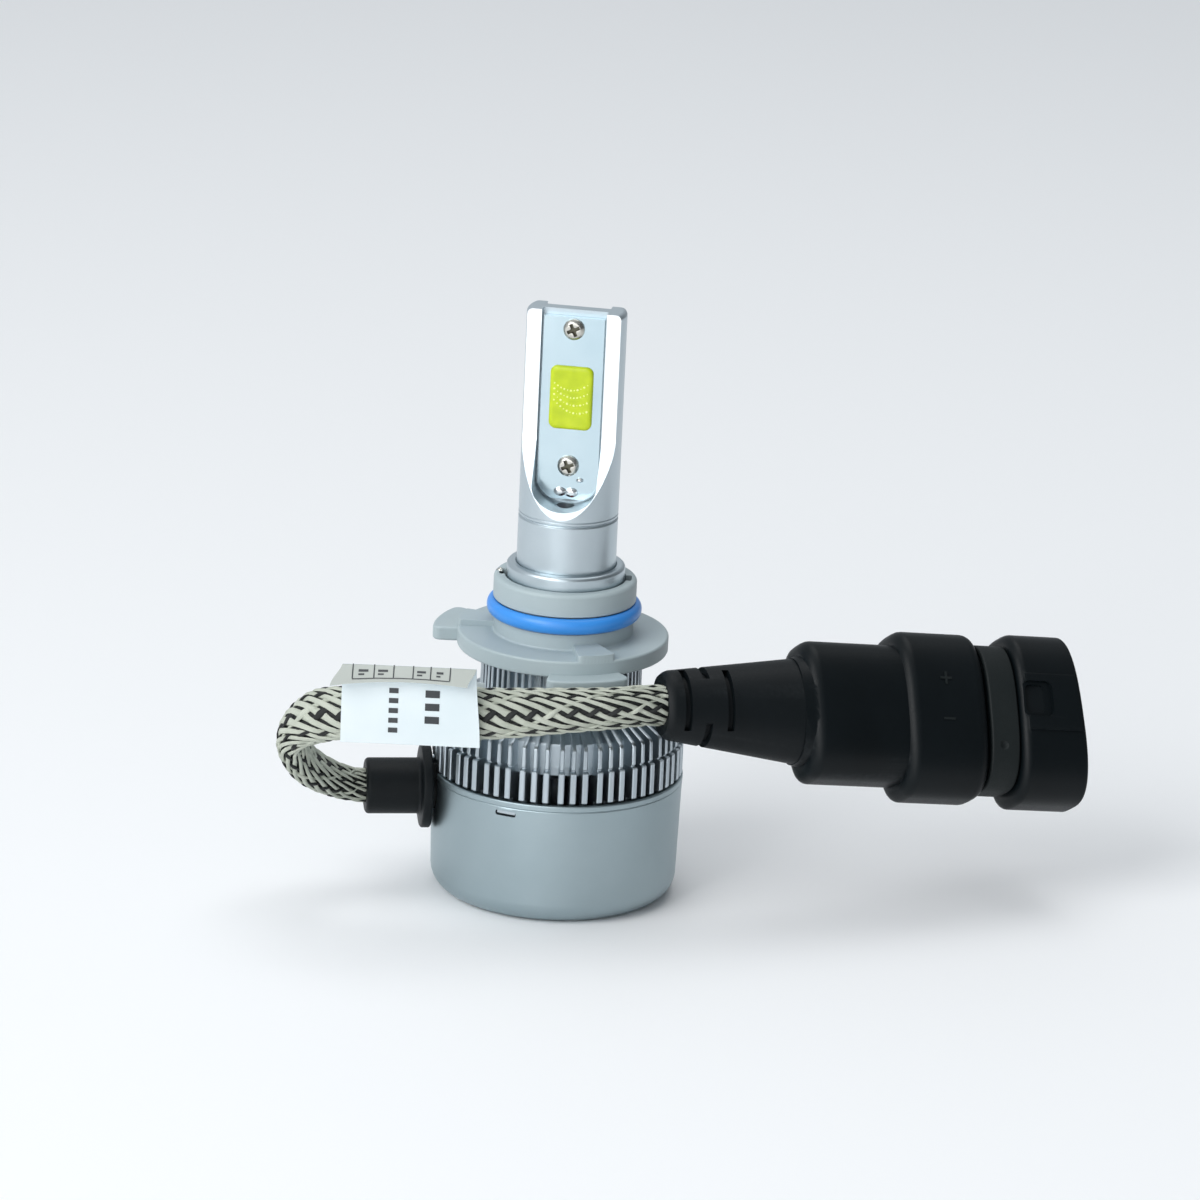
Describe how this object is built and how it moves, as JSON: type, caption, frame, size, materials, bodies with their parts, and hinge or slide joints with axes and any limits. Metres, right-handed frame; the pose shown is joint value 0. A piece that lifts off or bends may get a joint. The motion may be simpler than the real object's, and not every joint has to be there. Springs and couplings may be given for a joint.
{
  "type": "led headlight bulb",
  "caption": "LED headlight bulb with a turned lamp bar, twist-lock collar and O-ring, finned heat sink over a shrouded fan, and a short braided lead to a plug with its driver.",
  "frame": {"origin": "centre of the flat closed end of the fan shell, on the bulb's axis", "axes": "+Z along the bulb's axis towards the lamp bar's tip; -Y is the way the front LED board faces; the lead leaves towards -X"},
  "size_m": [0.1125, 0.0587, 0.0856],
  "materials": {
    "cast_aluminium": "satin bead-blasted and anodised",
    "black_plastic": "satin, fine texture",
    "ferrite": "matte grey",
    "steel": "bright",
    "brass": "bright",
    "copper": "enamelled winding wire",
    "circuit_board": "solder-masked",
    "turned_aluminium": "satin turned",
    "board_mirror": "mirror-bright metal-core board",
    "phosphor": "yellow-green silicone phosphor",
    "red_insulation": "smooth",
    "black_insulation": "smooth",
    "grey_nylon": "moulded, light grey",
    "blue_silicone": "smooth",
    "black_rubber": "matte",
    "braid": "braided, pale grey with black tracers",
    "paper": "matte white"
  },
  "bodies": {
    "lamp": {"fan_shell": "cast_aluminium", "fan_frame": "black_plastic", "fan_bearing": "brass", "fan_stator": "copper", "fan_circuit_board": "circuit_board", "heat_sink": "cast_aluminium", "lamp_head": "turned_aluminium", "led_board_front": "board_mirror", "led_emitter_front": "phosphor", "board_screw_front_top": "steel", "board_screw_front_bottom": "steel", "led_wire_front_positive": "red_insulation", "led_wire_front_negative": "black_insulation", "led_board_rear": "board_mirror", "led_emitter_rear": "phosphor", "board_screw_rear_top": "steel", "board_screw_rear_bottom": "steel", "led_wire_rear_positive": "red_insulation", "led_wire_rear_negative": "black_insulation", "cable_grommet": "black_rubber", "supply_wire_positive": "red_insulation", "supply_wire_negative": "black_insulation", "lead_sleeve": "braid", "lead_label": "paper", "strain_relief_boot": "black_rubber", "driver_case": "black_plastic", "plug_shell": "black_plastic", "plug_seal": "black_rubber", "plug_terminal_positive": "brass", "plug_terminal_negative": "brass", "driver_circuit_board": "circuit_board", "driver_inductor": "ferrite", "driver_capacitor": "black_insulation", "driver_chip": "black_plastic"},
    "rotor": {"fan_rotor": "black_plastic", "rotor_magnet": "ferrite", "fan_shaft": "steel"},
    "collar": {"adapter_collar": "grey_nylon", "o_ring": "blue_silicone", "detent_ball": "steel"}
  },
  "joints": [
    {"name": "fan_spin", "type": "hinge", "parent": "lamp", "child": "rotor", "pos_m": [0, 0, 0.0065], "axis": [0, 0, 1], "continuous": true},
    {"name": "collar_twist", "type": "hinge", "parent": "lamp", "child": "collar", "pos_m": [0, 0, 0.041], "axis": [0, 0, 1], "range_deg": [0, 25]}
  ]
}
